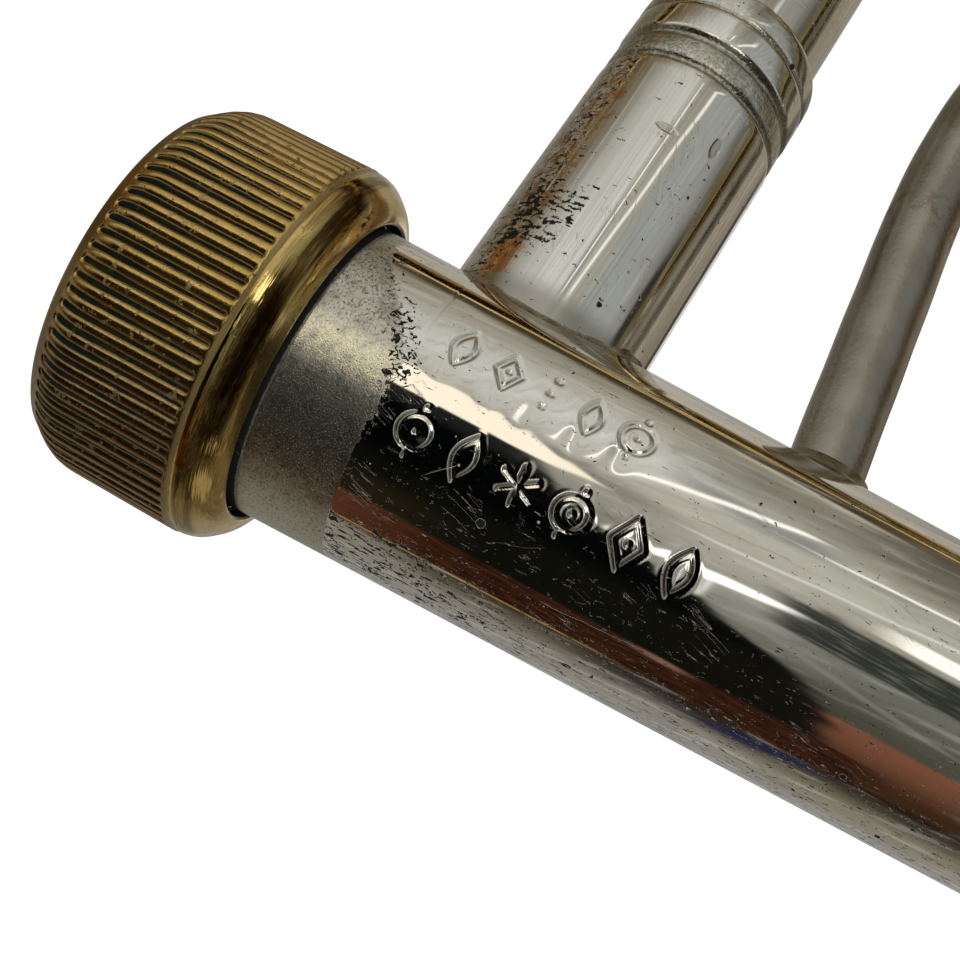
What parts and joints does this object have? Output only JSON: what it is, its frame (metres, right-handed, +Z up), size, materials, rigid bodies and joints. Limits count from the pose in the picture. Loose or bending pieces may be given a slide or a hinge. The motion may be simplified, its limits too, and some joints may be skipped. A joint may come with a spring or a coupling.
{
  "type": "trombone bell section",
  "caption": "Straight trombone bell section on its bell rim: slide receiver with captive fluted lock nut, braces, flared bell and sliding tuning crook.",
  "frame": {"origin": "middle of the bounding box on the plane the bell rim rests on; the slide receiver's axis is the vertical line at x = 0.0991 and the bell's axis the one at x = -0.0025", "axes": "+Z up along both tube axes, from the bell rim to the tuning crook; +X from the bell towards the slide receiver; -Y is the side with the two rows of punched marks"},
  "size_m": [0.2218, 0.2168, 0.6094],
  "materials": {
    "plated_tube": "polished warm nickel plate, worn through in specks, with a satin rubbed band beside the nut",
    "nickel_silver": "polished nickel silver, lightly scratched",
    "dull_rod": "dull unplated grey-brown metal",
    "nut_brass": "aged brass, dark in the flutes, polished on the collar",
    "yellow_brass": "polished lacquered yellow brass"
  },
  "bodies": {
    "bell_section": {"receiver_tube": "plated_tube", "nut_stop_ring": "nut_brass", "brace_socket_receiver": "plated_tube", "brace_tube": "nickel_silver", "brace_socket_bell": "plated_tube", "stay_rod": "dull_rod", "stay_rod_foot_receiver": "dull_rod", "stay_rod_foot_bell": "dull_rod", "receiver_ferrule": "nickel_silver", "neckpipe": "yellow_brass", "neck_leg_ferrule": "nickel_silver", "neck_outer_leg": "nickel_silver", "bell": "yellow_brass", "bell_rim_wire": "yellow_brass", "bell_leg_ferrule": "nickel_silver", "bell_outer_leg": "nickel_silver", "upper_brace_tube": "nickel_silver", "upper_brace_flange_neck": "nickel_silver", "upper_brace_flange_bell": "nickel_silver"},
    "nut_glide": {"nut_slip_washer": "yellow_brass"},
    "lock_nut": {"lock_nut": "nut_brass"},
    "tuning_slide": {"slide_inner_leg_neck": "nickel_silver", "slide_inner_leg_bell": "nickel_silver", "crook_ferrule_neck": "nickel_silver", "crook_ferrule_bell": "nickel_silver", "tuning_crook": "yellow_brass", "slide_brace_tube": "nickel_silver", "slide_brace_flange_neck": "nickel_silver", "slide_brace_flange_bell": "nickel_silver"}
  },
  "joints": [
    {"name": "nut_float", "type": "slide", "parent": "bell_section", "child": "nut_glide", "axis": [0, 0, 1], "range_m": [0, 0.0023]},
    {"name": "nut_spin", "type": "hinge", "parent": "nut_glide", "child": "lock_nut", "pos_m": [0.0991, 0, 0.276], "axis": [0, 0, 1], "continuous": true},
    {"name": "tuning_slide_pull", "type": "slide", "parent": "bell_section", "child": "tuning_slide", "axis": [0, 0, 1], "range_m": [0, 0.055]}
  ]
}
